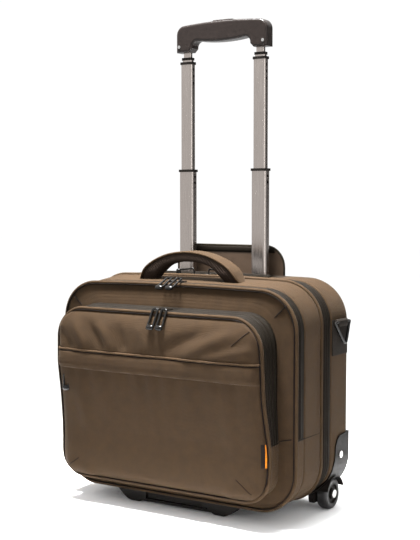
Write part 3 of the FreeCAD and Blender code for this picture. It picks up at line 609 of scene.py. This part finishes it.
def make_side_seams():
    """Stitched folds where the lower side panels meet the zip tapes, drawn as thin rods of painted shade."""
    for side, tag in ((-1, "left"), (1, "right")):
        pocket_x = POCKET_HALF + 4.0
        runs = (("pocket", "organiser", [(pocket_x, y) for y in np.linspace(-79, MID_FRONT - 6, 14)]),
                ("face", "organiser",
                 [(x, MID_FRONT - 5.6) for x in np.linspace(pocket_x, BODY_HALF - 6, 8)]),
                ("side", "middle", [(BODY_HALF - 0.4, y) for y in np.linspace(MID_FRONT + 2, SPLIT - 5, 24)]))
        for name, body, spots in runs:
            slant = 0.22 if name == "face" else 0.0
            path = [(side * x, y, side_seam(y) + slant * (x - pocket_x)) for x, y in spots]
            line = sweep("seam_%s_%s" % (name, tag), path, 0.8, SEAM_SHADE, sides=6)
            settle(line, body, "shell_fabric")


def make_organiser():
    back = MID_FRONT
    front = PANEL_LOW.y
    loops = [body_loop(back, -2.2, scale) for scale in np.linspace(0.04, 1.0, 14)]
    loops.append(body_loop(front - 0.5, -2.4))
    loops.append(body_loop(front - 1.2, -4.5))
    for scale in np.linspace(0.985, 0.04, 30):
        swell = 5.5 * ease((1 - scale) / 0.24)
        loops.append(body_loop(front - 1.2 - swell, -4.5, scale))
    points, faces = stitch_loops(loops)
    marks = [1 if max(face) < 14 * len(loops[0]) else 0 for face in faces]
    piece = add_object("organiser_face", points, faces, [SHELL, LINING], marks)
    settle(piece, "organiser", "shell_fabric", "organiser_panel")
    cord_ring("mid_cord", body_loop, MID_FRONT - 2.4, 0.0, "organiser", "mid_piping")


# ------------------------------------------------------------------ padded front

def lid_depth(x, z):
    """How far the front panel swells in front of its zip at (x, z)."""
    half = POCKET_HALF + np.interp(z, SAG_HEIGHTS, SAG_SIDE)
    gaps = (half - abs(x), z - POCKET_LOW, POCKET_TOP - z)
    side = 1 - np.exp(-np.clip(gaps[0], 0, None) / 9.0)
    under = 1 - np.exp(-np.clip(gaps[1], 0, None) / 10.0)
    over = 1 - np.exp(-np.clip(gaps[2], 0, None) / 16.0)
    return 14.5 * side * under * over


# Folds in the upper cloth: start and end in (x, z), width and height in millimetres.
FOLDS = (
    ((-150, 296), (-118, 246), 9, 4.1),
    ((-128, 300), (-88, 250), 8, -3.5),
    ((-96, 292), (-70, 246), 9, 3.8),
    ((-60, 290), (-48, 248), 8, -3.0),
    ((-20, 288), (-6, 248), 10, 2.4),
    ((150, 292), (60, 244), 12, 4.3),
    ((120, 298), (20, 250), 10, -3.2),
    ((175, 262), (90, 243), 8, 3.5),
    ((-172, 270), (-150, 242), 8, -3.2),
    ((-175, 60), (-120, 48), 9, 3.2),
    ((172, 58), (120, 50), 9, 3.0),
    ((-150, 205), (-128, 120), 13, 2.2),
    ((-92, 206), (-84, 140), 12, 1.9),
    ((118, 206), (134, 110), 14, 2.2),
)
BAND_TOP = cad("front_band")[1].z
BAND_BASE = cad("front_band")[0].z


def fold_height(x, z):
    """The sum of the folds' heights at (x, z)."""
    total = 0.0
    for (x0, z0), (x1, z1), wide, high in FOLDS:
        run_x, run_z = x1 - x0, z1 - z0
        length = math.hypot(run_x, run_z)
        share = ((x - x0) * run_x + (z - z0) * run_z) / length ** 2
        away = ((x - x0) * run_z - (z - z0) * run_x) / length
        fade = ease((share + 0.15) / 0.35) * ease((1.15 - share) / 0.35) * ease((POCKET_TOP - 6 - z) / 34)
        total += high * fade * math.exp(-(away / wide) ** 2)
    return total


def gathers(x, z):
    """Soft upright folds under the front band."""
    drop = BAND_BASE - z
    if drop < 0:
        return 0.0
    wave = math.cos(x / 5.2 + 0.9 * math.sin(x / 23.0)) * 1.1
    return wave * math.exp(-drop / 45.0) * ease((170 - abs(x)) / 30)


def front_y(x, z):
    """The front panel's face at (x, z)."""
    swell = lid_depth(x, z) + fold_height(x, z) * ease((POCKET_HALF - abs(x)) / 14) + gathers(x, z)
    step = 1.4 * ease((z - BAND_BASE) / 3.0)
    return POCKET_FRONT + sag(z) - 1.0 - swell - step * ease((POCKET_HALF - abs(x)) / 8)


def make_front_lid():
    inner = 14
    loops = [pocket_loop(POCKET_FRONT, -1.5, scale) for scale in np.linspace(0.04, 1.0, inner)]
    for scale in np.linspace(1.0, 0.03, 62):
        loop = pocket_loop(POCKET_FRONT, -1.6, scale)
        loop[:, 1] = [front_y(x, z) for x, z in loop[:, (0, 2)]]
        loops.append(loop)
    points, faces = stitch_loops(loops)
    marks = [1 if max(face) < inner * len(loops[0]) else 0 for face in faces]
    piece = add_object("front_cushion", points, faces, [SHELL, LINING], marks)
    settle(piece, "front_lid", "shell_fabric", "front_panel")
    cord_ring("front_cord", pocket_loop, POCKET_FRONT - 2.4, 0.3, "front_lid", "front_piping")
    make_front_band()


def face_line(name, spots, radius, material, lift=0.0, body="front_lid", slot="shell_fabric"):
    """A thread or fold that lies on the front panel along (x, z) spots."""
    path = [(x, front_y(x, z) - lift, z) for x, z in spots]
    return settle(sweep(name, path, radius, material, sides=6), body, slot)


def make_front_band():
    """The flap over the small front zip: sewn along its top, free along its lower edge."""
    reach = POCKET_HALF
    columns = np.linspace(-reach, reach, 121)
    section = ((BAND_TOP, 0.2), (BAND_TOP - 2, 1.5), (BAND_TOP - 7, 2.6), (BAND_TOP - 14, 3.2),
               (BAND_TOP - 21, 3.1), (BAND_BASE + 1.5, 2.5), (BAND_BASE, 1.5), (BAND_BASE + 0.3, 0.4),
               (BAND_BASE + 3, -0.4), (BAND_TOP - 1, -0.6))
    loops = []
    for x in columns:
        edge = ease((reach - abs(x)) / 7.0)
        sway = 0.7 * math.sin(x / 41.0) + 0.35 * math.sin(x / 13.0 + 1.0)
        loops.append([(x, front_y(x, z) - proud * (0.35 + 0.65 * edge) - 0.15 * sway * (proud > 1),
                       z + 0.3 * sway) for z, proud in section])
    points, faces = stitch_loops(loops)
    piece = add_object("band_flap", points, faces, [SHELL])
    settle(piece, "front_lid", "shell_fabric", "front_band")
    xs = np.linspace(-reach, reach, 90)
    # band_fold is a rod in the lighter welt cloth, a painted highlight on the fold's edge; band_shadow is a
    # near-black rod of painted shade under it.
    face_line("band_fold", [(x, BAND_TOP + 1.6) for x in xs], 1.7, WELT_LIT, 0.5)
    face_line("band_shadow", [(x, BAND_TOP - 0.6) for x in xs], 1.0, SEAM_SHADE, 0.9)


def make_darts():
    """Short tucks sewn across the front panel's corners, drawn as thin lines of painted shade."""
    face_line("dart_high_right", [(168 - 26 * t, 289 - 22 * t) for t in np.linspace(0, 1, 14)], 0.7, SEAM_SHADE)
    face_line("dart_low_right", [(166 - 26 * t, 56 + 18 * t) for t in np.linspace(0, 1, 14)], 0.6, SEAM_SHADE)
    face_line("dart_low_left", [(-168 + 20 * t, 56 + 14 * t) for t in np.linspace(0, 1, 14)], 0.6, SEAM_SHADE)


def make_organiser_darts():
    """Tucks from the organiser's upper corners down to the pocket, drawn as thin lines of painted shade."""
    for side, tag in ((-1, "left"), (1, "right")):
        path = [(side * (196 - 26 * t), MID_FRONT - 5.4, 322 - 24 * t) for t in np.linspace(0, 1, 12)]
        settle(sweep("organiser_dart_" + tag, path, 0.9, SEAM_SHADE, sides=6), "organiser", "shell_fabric")


def make_tag():
    low, high = cad("side_tag")
    x = POCKET_HALF + 0.5
    wide = 3.6
    for name, shift, half, material in (("tag_field", 0.0, wide, TAG_BLACK),
                                        ("tag_stripe", 2.2, 0.9, TAG_EDGE)):
        spots = np.linspace(low.z, high.z, 12)
        loops = []
        for z in spots:
            lift = 1.6 if name == "tag_stripe" else 1.2
            face = [(x + shift + side * half, front_y(x + shift + side * half, z)) for side in (-1, 1)]
            loops.append([(face[0][0], face[0][1] - lift, z), (face[1][0], face[1][1] - lift, z),
                          (face[1][0], face[1][1] + 0.5, z), (face[0][0], face[0][1] + 0.5, z)])
        points, faces = stitch_loops(loops)
        piece = add_object(name, points, faces, [material], smooth=False)
        settle(piece, "front_lid", "tag", *(["side_tag"] if name == "tag_field" else []))


# ------------------------------------------------------------------ carry handle

def handle_arch(right):
    """A smooth arch through its right half's (x, z) points, ending at its crest."""
    left = [(-x, z) for x, z in reversed(right[:-1])]
    return smooth_path([(x, 0, z) for x, z in right + left], 8)


def make_carry_handle():
    low, high = cad("carry_strap")
    grip_high = cad("carry_grip")[1]
    middle = (low.y + high.y) / 2
    crest = grip_high.z
    foot = low.z - 6.5
    outer = handle_arch([(97, foot), (91, foot + 9), (81, foot + 23), (65, crest - 16), (43, crest - 6.5),
                         (22, crest - 1.8), (0, crest)])
    inner = handle_arch([(66, foot), (60, foot + 9), (52, foot + 18), (40, crest - 23), (26, crest - 19),
                         (13, crest - 17), (0, crest - 16.5)])
    along = np.linspace(0, 1, len(outer))
    narrow = [ease(min(share, 1 - share) / 0.16) for share in along]
    for name, half_y, span, material, node, slot in (
            ("handle_core", 14.0, (0.0, 0.88), TWILL, "carry_grip", "handle_twill"),
            ("handle_cover", 13.4, (0.84, 1.0), SHELL, "carry_strap", "shell_fabric")):
        loops = []
        for top, under, share in zip(outer, inner, narrow):
            near = under + span[0] * (top - under)
            far = under + span[1] * (top - under)
            centre = (near + far) / 2 + np.array([0, middle, 0])
            reach = (far - near) / 2
            wide = half_y * (0.5 + 0.5 * share)
            ring_points = []
            for turn in np.linspace(0, 2 * math.pi, 24, endpoint=False):
                c, s = math.cos(turn), math.sin(turn)
                ring_points.append(centre + np.array([0, wide * math.copysign(abs(c) ** 0.4, c), 0])
                                   + reach * math.copysign(abs(s) ** 0.5, s))
            loops.append(ring_points)
        points, faces = stitch_loops(loops)
        settle(add_object(name, points, faces, [material]), "carry_handle", slot, node)
    for edge, tag in ((-1, "front"), (1, "back")):
        welt = [under + 0.9 * (top - under) + np.array([0, middle + edge * 13.6 * (0.5 + 0.5 * share), 0])
                for top, under, share in zip(outer, inner, narrow)]
        settle(sweep("handle_welt_" + tag, welt, 1.7, CORD, sides=10), "carry_handle", "piping")


# ------------------------------------------------------------------ handle well and its flap

def make_well():
    """A lining round the well, and the zip track along its front edge."""
    low = np.array(WELL_LOW) - 0.5
    high = np.array(WELL_HIGH) + 0.5
    floor_z = cad("well_plate")[1].z - 1.0
    loops = []
    for z, inset in ((MAIN_TOP + 0.3, 0.0), (floor_z, 0.0), (floor_z, 1.2), (MAIN_TOP + 0.8, 1.2)):
        corner = 6.0
        ring_points = []
        for cx, cy, start in ((high[0], high[1], 0), (low[0], high[1], 90), (low[0], low[1], 180),
                              (high[0], low[1], 270)):
            sx = math.copysign(1, cx)
            sy = 1 if cy == high[1] else -1
            for turn in np.linspace(0, 90, 7):
                a = math.radians(start + turn)
                ring_points.append((cx - sx * (corner + inset) + corner * math.cos(a),
                                    cy - sy * (corner + inset) + corner * math.sin(a), z))
        loops.append(ring_points)
    points, faces = stitch_loops(loops, wrap=True)
    settle(add_object("well_lining", points, faces, [LINING]), "case", "lining")
    track_low, track_high = cad("flap_zip_track")
    middle = (track_low.y + track_high.y) / 2
    xs = np.linspace(track_low.x, track_high.x, 40)
    tape = [(x, middle, MAIN_TOP + crown(x) + 0.6) for x in xs]
    piece = sweep("well_zip_tape", tape, 5.2, ZIP, sides=12, flat=0.28, up=(0, 0, 1))
    settle(piece, "case", "zip_tape", "flap_zip_track")
    coil = [(x, middle - 1.5, MAIN_TOP + crown(x) + 2.0) for x in xs]
    settle(sweep("well_zip_coil", coil, 1.7, ZIP, sides=10), "case", "zip_tape")


def make_flap():
    """The raised flap: an upright panel with rounded corners, a bound edge and a zip tape."""
    half = FLAP_HIGH.x
    base = FLAP_LOW.z
    top = FLAP_HIGH.z
    middle = (FLAP_LOW.y + FLAP_HIGH.y) / 2
    corner = 33.0
    rim = [(-half, base + 0.5), (-half, base + 12)]
    rim += [(-half + corner - corner * math.cos(a), top - corner + corner * math.sin(a))
            for a in np.linspace(0, math.pi / 2, 10)]
    rim += [(x, top) for x in np.linspace(-half + corner + 8, half - corner - 8, 24)]
    rim += [(half - corner + corner * math.sin(a), top - corner + corner * math.cos(a))
            for a in np.linspace(0, math.pi / 2, 10)]
    rim += [(half, base + 12), (half, base + 0.5)]
    rim = np.array(rim)

    def lean(x, z):
        """The panel bows back between its ends and leans out at its top."""
        return middle - 0.9 + 1.6 * math.sin(math.pi * (x + half) / (2 * half)) * (z - base) / (top - base)

    sides = []
    for face, offset in ((0, -1.1), (1, 1.1)):
        for scale in (np.linspace(0.0, 1.0, 12) if face == 0 else np.linspace(1.0, 0.0, 12)):
            loop = []
            for x, z in rim:
                height = base + (z - base) * (0.02 + 0.98 * scale)
                width = x * (0.9 + 0.1 * scale)
                loop.append((width, lean(width, height) + offset, height))
            sides.append(loop)
    count = len(rim)
    points = [point for loop in sides for point in loop]
    faces = []
    for row in range(len(sides) - 1):
        for step in range(count - 1):
            below = row * count + step
            faces.append((below, below + 1, below + 1 + count, below + count))
    panel = add_object("flap_panel", points, faces, [FLAP])
    settle(panel, "flap", "lining", "well_flap")
    edge = [(x, lean(x, z), z) for x, z in rim]
    settle(sweep("flap_binding", edge, 1.7, GUSSET, sides=10), "flap", "gusset_fabric")
    xs = np.linspace(-half + 17, half - 17, 60)
    strip = [(x, lean(x, top - 6) - 1.4, top - 6) for x in xs]
    settle(sweep("flap_zip", strip, 4.6, ZIP, sides=12, flat=0.22), "flap", "zip_tape")


# ------------------------------------------------------------------ zip pulls

def make_slider(name, body):
    """A slider's flat base."""
    low, high = cad(name)
    if "pocket" in name:
        low.y += 0.4 * (high.y - low.y)
    else:
        lift = float(crown((low.x + high.x) / 2))
        high.z += lift - 0.68 * (high.z - low.z)
        low.z += lift
    base = soft_box(name + "_base", low, high, 1.0, GLOSS)
    return settle(base, body, "gloss_black", name)


def pull_shape(name, length, thick, half=4.6):
    """A pull hanging down from the origin: a long wire loop, thick in radius, that ends in a round barrel."""
    loop = [(-half, 0, -3), (-half + 1.2, 0, -0.6), (0, 0, 0.4), (half - 1.2, 0, -0.6), (half, 0, -3),
            (half, 0, -length * 0.5), (half, 0, 6 - length), (0, 0, 4.5 - length), (-half, 0, 6 - length),
            (-half, 0, -length * 0.5)]
    wire = sweep(name + "_loop", smooth_path(loop, 6, closed=True), thick, GLOSS, closed=True, sides=10)
    stations = ((-1.0, 0.2), (-0.94, 2.4), (-0.8, 3.6), (-0.3, 4.2),
                (0.3, 4.2), (0.8, 3.6), (0.94, 2.4), (1.0, 0.2))
    loops = []
    for share, radius in stations:
        turns = np.linspace(0, 2 * math.pi, 18, endpoint=False)
        loops.append([(share * (half + 1.9), 0.8 * radius * math.cos(a), 3.2 - length + radius * math.sin(a))
                      for a in turns])
    points, faces = stitch_loops(loops)
    barrel = add_object(name + "_barrel", points, faces, [GLOSS])
    return wire, barrel


def make_pull(tag, body, pivot, turn, lift):
    """One pull at its pivot, turned as it lies."""
    for part in pull_shape("pull_" + tag, 24.0 if tag == "pocket" else 33.0, 1.3 if "main" in tag else 1.7):
        place = Vector(pivot) * MM + Vector((0, 0, lift * MM))
        part.data.transform(Matrix.Translation(place) @ turn.to_4x4())
        if part.name.endswith("_loop"):
            settle(part, body, "gloss_black", "pull_" + tag)
        else:
            settle(part, body, "gloss_black")


def make_zip_hardware():
    joints = {joint["name"]: joint for joint in frame["joints"]}
    for tag in ("front_left", "front_right", "mid_left", "mid_right", "main_left", "main_right", "pocket"):
        make_slider("slider_" + tag, "slide_" + tag)
        pivot = Vector(joints["pull_%s_swing" % tag]["pos_m"]) / MM
        low, high = cad("pull_" + tag)
        middle = (low + high) / 2
        hang = (middle - pivot).normalized()
        turn = Vector((0, 0, -1)).rotation_difference(hang).to_matrix()
        lift = 0.0 if tag == "pocket" else float(crown(pivot.x)) + 1.2
        if tag.startswith("front"):
            lift = 0.0
            pivot.y -= 1.6
        make_pull(tag, "pull_" + tag, pivot, turn, lift)


# ------------------------------------------------------------------ side fittings

def make_rings():
    for side, tag in ((-1, "left"), (1, "right")):
        low, high = cad("strap_ring_" + tag)
        x = (low.x + high.x) / 2
        corners = [(x, low.y + 3, high.z - 2), (x, (low.y + high.y) / 2, high.z - 2),
                   (x, high.y - 3, high.z - 2), (x, high.y - 3.5, high.z - 7), (x, 97.5, low.z + 5),
                   (x, 92, low.z + 2), (x, 86.5, low.z + 5), (x, low.y + 5, high.z - 7)]
        wire = sweep("ring_" + tag, smooth_path(corners, 8, closed=True), 2.2, GLOSS, closed=True, sides=12,
                     up=(1, 0, 0))
        settle(wire, "ring_" + tag, "gloss_black", "strap_ring_" + tag)
    low, high = cad("ring_tabs")
    joined = []
    for side, tag in ((-1, "left"), (1, "right")):
        x0 = BODY_HALF - 0.4
        patch_box = sorted_box((side * x0, low.y, low.z), (side * (x0 + 2.2), high.y, high.z))
        patch = soft_box("tab_patch_" + tag, *patch_box, 0.8, WEBBING)
        loop_box = sorted_box((side * (x0 + 1), low.y + 9.5, high.z - 11),
                              (side * (x0 + 8.6), high.y - 9, high.z + 0.5))
        loop = soft_box("tab_loop_" + tag, *loop_box, 3.0, WEBBING)
        joined += [patch, loop]
    for index, piece in enumerate(joined):
        settle(piece, "case", "webbing", *(["ring_tabs"] if index == 0 else []))


def sorted_box(first, second):
    """The lowest and highest corners of two opposite ones."""
    return [min(a, b) for a, b in zip(first, second)], [max(a, b) for a, b in zip(first, second)]


# ------------------------------------------------------------------ CAD pieces that keep their shape

KEPT = (
    (PLASTIC, ("corner_guard_left", "corner_guard_right", "front_skid", "well_plate", "tube_foot_bracket",
               "wheel_hub_left", "wheel_hub_right", "collars_1", "collars_2", "collars_3", "back_board")),
    (GRIP, ("grip_front", "grip_back", "release_button", "release_yoke", "catches_2", "catches_3")),
    (ALUMINIUM, ("fixed_tubes", "tubes_1", "tubes_2", "tubes_3", "grip_stems")),
    (STEEL, ("guard_screws", "grip_screws", "wheel_axles")),
    (TYRE, ("tyre_left", "tyre_right")),
)


def finish_kept():
    for material, names in KEPT:
        for name in names:
            mesh = frame["nodes"][name].data
            mesh.materials.clear()
            mesh.materials.append(material)


# ------------------------------------------------------------------ floor, light and camera

def make_floor():
    material, tree, shader = new_material("studio_floor")
    haze = texture(tree, "ShaderNodeTexNoise", 3.0, Detail=2.0)
    colours = ramp(tree, haze.outputs["Fac"], (0.985, 0.985, 0.985), (1.0, 1.0, 1.0))
    tree.links.new(colours.outputs["Color"], shader.inputs["Base Color"])
    shader.inputs["Roughness"].default_value = 0.9
    floor = add_object("floor", [(-9000, -9000, 0), (9000, -9000, 0), (9000, 9000, 0), (-9000, 9000, 0)],
                       [(0, 1, 2, 3)], [material])


def add_area(name, place, target, size, power, spread=180.0):
    light = bpy.data.lights.new(name, "AREA")
    light.shape = "RECTANGLE"
    light.size, light.size_y = size
    light.energy = power
    light.spread = math.radians(spread)
    lamp = bpy.data.objects.new(name, light)
    lamp.location = place
    lamp.rotation_euler = (Vector(target) - Vector(place)).to_track_quat("-Z", "Y").to_euler()
    bpy.context.scene.collection.objects.link(lamp)


def make_card():
    """A black card behind the case's right side, for the dark edge of the bright tubes."""
    material, tree, shader = new_material("studio_card")
    grain = texture(tree, "ShaderNodeTexNoise", 20.0, Detail=2.0)
    colours = ramp(tree, grain.outputs["Fac"], (0.01, 0.01, 0.01), (0.02, 0.02, 0.02))
    tree.links.new(colours.outputs["Color"], shader.inputs["Base Color"])
    card = add_object("card", [(1700, 1000, 250), (900, 2300, 250), (900, 2300, 1500), (1700, 1000, 1500)],
                      [(0, 1, 2, 3)], [material])


def make_light():
    world = bpy.data.worlds.new("studio")
    world.use_nodes = True
    world.node_tree.nodes["Background"].inputs["Color"].default_value = (1.0, 1.0, 1.0, 1)
    world.node_tree.nodes["Background"].inputs["Strength"].default_value = 1.03
    bpy.context.scene.world = world
    add_area("top", (0.1, 0.7, 2.2), (0, 0, 0.3), (1.4, 1.4), 30)
    add_area("crown", (-0.15, -0.22, 1.9), (0, 0.02, 0.35), (0.6, 0.4), 15, 35)
    add_area("key", (-1.4, -1.3, 1.6), (0, 0, 0.25), (0.9, 0.9), 6)
    add_area("strip", (1.9, -1.1, 0.85), (0, 0.05, 0.5), (0.4, 1.6), 9)
    bpy.context.scene.view_settings.view_transform = "Standard"


def make_camera():
    """Stands at the eye's place, to the case's right and in front, looking a little down."""
    turn = math.radians(33.0)
    dip = math.radians(3.59)
    lens = bpy.data.cameras.new("view")
    lens.lens = 74.8
    lens.sensor_width = 36.0
    camera = bpy.data.objects.new("view", lens)
    camera.location = (0.9663, -1.4383, 0.4720)
    look = Vector((-math.sin(turn) * math.cos(dip), math.cos(turn) * math.cos(dip), -math.sin(dip)))
    camera.rotation_euler = look.to_track_quat("-Z", "Y").to_euler()
    bpy.context.scene.collection.objects.link(camera)
    bpy.context.scene.camera = camera


make_rear()
zip_band("rear_tape", body_loop, BAND_LOW.y, BAND_HIGH.y, SPLIT + 9, -1.2, 3.0, "case", "zip_tape",
         "rear_zip_band", (SPLIT + 17, SPLIT + 22))
make_middle()
zip_band("mid_tape", body_loop, TAPE_LOW.y, TAPE_HIGH.y, MID_FRONT + 9, -1.0, 3.0, "middle", "zip_tape",
         "mid_zip_tape", (), SHELL)
make_organiser()
zip_band("pocket_gusset", pocket_loop, GUSSET_LOW.y, GUSSET_HIGH.y, POCKET_FRONT + 8, -1.0, 2.5, "organiser",
         "gusset_fabric", "front_gusset", (POCKET_FRONT + 16, POCKET_FRONT + 25, POCKET_FRONT + 36), SHELL)
make_side_seams()
make_front_lid()
make_darts()
make_organiser_darts()
make_tag()
make_carry_handle()
make_well()
make_flap()
make_zip_hardware()
make_rings()
finish_kept()
make_floor()
make_card()
make_light()
make_camera()
